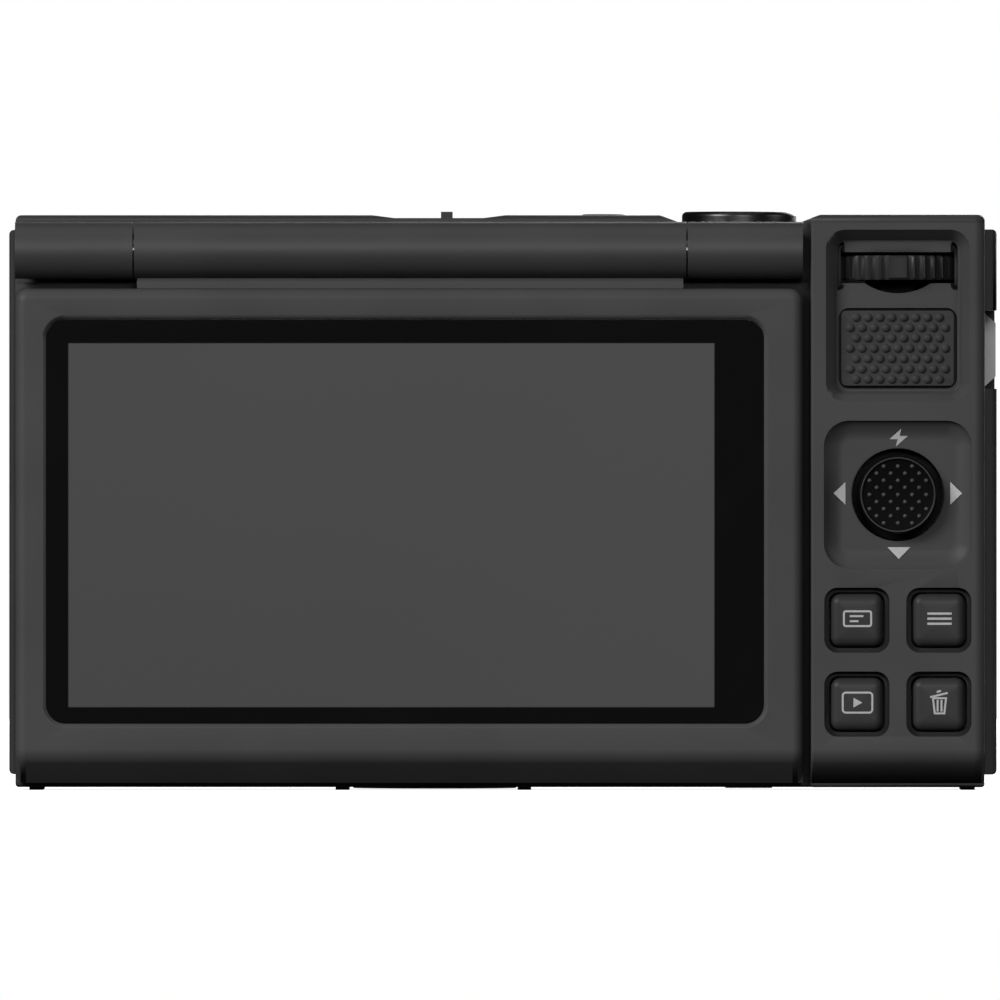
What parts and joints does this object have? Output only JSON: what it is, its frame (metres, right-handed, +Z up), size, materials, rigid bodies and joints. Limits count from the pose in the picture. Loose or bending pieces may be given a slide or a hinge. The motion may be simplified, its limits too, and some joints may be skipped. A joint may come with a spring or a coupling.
{
  "type": "compact flip-screen camera",
  "caption": "Slim black camera and camcorder seen from behind: flip-up screen on a barrel hinge, thumb wheel, joystick and square keys, retracting zoom lens, side port and battery door.",
  "frame": {"origin": "middle of the outer box, on the plane that the feet stand on", "axes": "+X to the right seen from behind, +Y out through the lens, +Z up"},
  "size_m": [0.1018, 0.03, 0.0596],
  "materials": {
    "case_black": "fine matt grain",
    "cover_black": "satin painted",
    "trim_black": "satin",
    "screen_black": "fine matt grain",
    "hinge_black": "satin black paint",
    "rubber": "matt rubber",
    "control_black": "satin moulded",
    "button_metal": "spun, black anodised",
    "lug_metal": "bead-blasted",
    "steel": "turned",
    "blade_metal": "blackened sheet",
    "screen_glass": "polished, black printed border",
    "lens_glass": "coated",
    "window_clear": "moulded, ribbed",
    "reflector": "polished",
    "display": "display, dark",
    "board": "solder mask",
    "component": "moulded",
    "socket_steel": "stamped",
    "battery_wrap": "printed sleeve"
  },
  "bodies": {
    "root": {"front_shell": "case_black", "rear_shell": "case_black", "top_cover": "cover_black", "base_plate": "cover_black", "side_trim_left": "trim_black", "side_trim_right": "trim_black", "strap_lug": "lug_metal", "hinge_knuckle_left": "hinge_black", "hinge_knuckle_right": "hinge_black", "hinge_pins": "steel", "thumb_pad": "rubber", "wheel_bracket": "steel", "stick_cradle": "steel", "key_board": "board", "top_board": "board", "microphones": "component", "lens_ring": "button_metal", "lens_housing": "component", "rear_lens": "lens_glass", "image_sensor": "component", "flash_window": "window_clear", "flash_reflector": "reflector", "focus_lamp": "window_clear", "flash_capacitor": "component", "zoom_motor": "socket_steel", "port_sockets": "socket_steel", "tripod_socket": "steel", "feet": "rubber", "door_pin": "steel", "battery": "battery_wrap", "battery_carrier": "component", "memory_card": "component", "main_board": "board", "floor_frame": "steel", "case_screws": "steel"},
    "screen": {"hinge_barrel": "hinge_black", "screen_bezel": "screen_black", "screen_back_cover": "cover_black", "screen_glass": "screen_glass", "display_cell": "display"},
    "wheel": {"thumb_wheel": "control_black"},
    "stick_outer": {"stick_outer_ring": "steel"},
    "stick_inner": {"stick_inner_ring": "steel"},
    "stick": {"stick_cap": "control_black"},
    "disp_key": {"disp_key": "control_black"},
    "play_key": {"play_key": "control_black"},
    "menu_key": {"menu_key": "control_black"},
    "trash_key": {"trash_key": "control_black"},
    "shutter": {"shutter_button": "button_metal"},
    "power": {"power_button": "button_metal"},
    "mode": {"mode_slider": "control_black"},
    "zoom_outer": {"zoom_barrel_outer": "button_metal"},
    "zoom_inner": {"zoom_barrel_inner": "button_metal", "lens_front_ring": "button_metal", "front_lens": "lens_glass"},
    "door_upper": {"lens_door_upper": "blade_metal"},
    "door_lower": {"lens_door_lower": "blade_metal"},
    "battery_door": {"battery_door": "trim_black"},
    "door_latch": {"door_latch": "trim_black"},
    "port_cover": {"port_cover": "trim_black"}
  },
  "joints": [
    {"name": "screen_flip", "type": "hinge", "parent": "root", "child": "screen", "pos_m": [0, -0.01135, 0.05555], "axis": [-1, 0, 0], "range_deg": [0, 180]},
    {"name": "wheel_spin", "type": "hinge", "parent": "root", "child": "wheel", "pos_m": [0.04065, -0.00815, 0.05375], "axis": [0, 0, 1], "continuous": true},
    {"name": "stick_up_down", "type": "hinge", "parent": "root", "child": "stick_outer", "pos_m": [0.04065, -0.011, 0.0304], "axis": [1, 0, 0], "range_deg": [-8, 8], "stiffness_Nm_per_rad": 0.004},
    {"name": "stick_left_right", "type": "hinge", "parent": "stick_outer", "child": "stick_inner", "pos_m": [0.04065, -0.011, 0.0304], "axis": [0, 0, 1], "range_deg": [-8, 8], "stiffness_Nm_per_rad": 0.004},
    {"name": "stick_press", "type": "slide", "parent": "stick_inner", "child": "stick", "axis": [0, 1, 0], "range_m": [0, 0.0003], "stiffness_N_per_m": 300, "springref_m": -0.0004},
    {"name": "disp_press", "type": "slide", "parent": "root", "child": "disp_key", "axis": [0, 1, 0], "range_m": [0, 0.0004], "stiffness_N_per_m": 300, "springref_m": -0.0004},
    {"name": "play_press", "type": "slide", "parent": "root", "child": "play_key", "axis": [0, 1, 0], "range_m": [0, 0.0004], "stiffness_N_per_m": 300, "springref_m": -0.0004},
    {"name": "menu_press", "type": "slide", "parent": "root", "child": "menu_key", "axis": [0, 1, 0], "range_m": [0, 0.0004], "stiffness_N_per_m": 300, "springref_m": -0.0004},
    {"name": "trash_press", "type": "slide", "parent": "root", "child": "trash_key", "axis": [0, 1, 0], "range_m": [0, 0.0004], "stiffness_N_per_m": 300, "springref_m": -0.0004},
    {"name": "shutter_press", "type": "slide", "parent": "root", "child": "shutter", "axis": [0, 0, -1], "range_m": [0, 0.0006], "stiffness_N_per_m": 300, "springref_m": -0.0004},
    {"name": "power_press", "type": "slide", "parent": "root", "child": "power", "axis": [0, 0, -1], "range_m": [0, 0.0004], "stiffness_N_per_m": 300, "springref_m": -0.0004},
    {"name": "mode_slide", "type": "slide", "parent": "root", "child": "mode", "axis": [1, 0, 0], "range_m": [-0.002, 0]},
    {"name": "zoom_outer_slide", "type": "slide", "parent": "root", "child": "zoom_outer", "axis": [0, 1, 0], "range_m": [0, 0.012]},
    {"name": "zoom_inner_slide", "type": "slide", "parent": "zoom_outer", "child": "zoom_inner", "axis": [0, 1, 0], "range_m": [0, 0.01]},
    {"name": "lens_door_upper_swing", "type": "hinge", "parent": "zoom_inner", "child": "door_upper", "pos_m": [-0.0185, 0.01337, 0.0317], "axis": [0, -1, 0], "range_deg": [0, 32]},
    {"name": "lens_door_lower_swing", "type": "hinge", "parent": "zoom_inner", "child": "door_lower", "pos_m": [-0.0185, 0.01337, 0.0278], "axis": [0, -1, 0], "range_deg": [-32, 0]},
    {"name": "battery_door_swing", "type": "hinge", "parent": "root", "child": "battery_door", "pos_m": [0.0105, 0.0004, 0.0008], "axis": [0, 1, 0], "range_deg": [0, 95]},
    {"name": "latch_slide", "type": "slide", "parent": "battery_door", "child": "door_latch", "axis": [1, 0, 0], "range_m": [0, 0.0016]},
    {"name": "port_cover_swing", "type": "hinge", "parent": "root", "child": "port_cover", "pos_m": [-0.0505, 0.00215, 0.01435], "axis": [0, -1, 0], "range_deg": [0, 95]}
  ],
  "couplings": [
    {"joint": "zoom_inner_slide", "follows": "zoom_outer_slide", "ratio": 0.8333},
    {"joint": "lens_door_lower_swing", "follows": "lens_door_upper_swing", "ratio": -1}
  ]
}
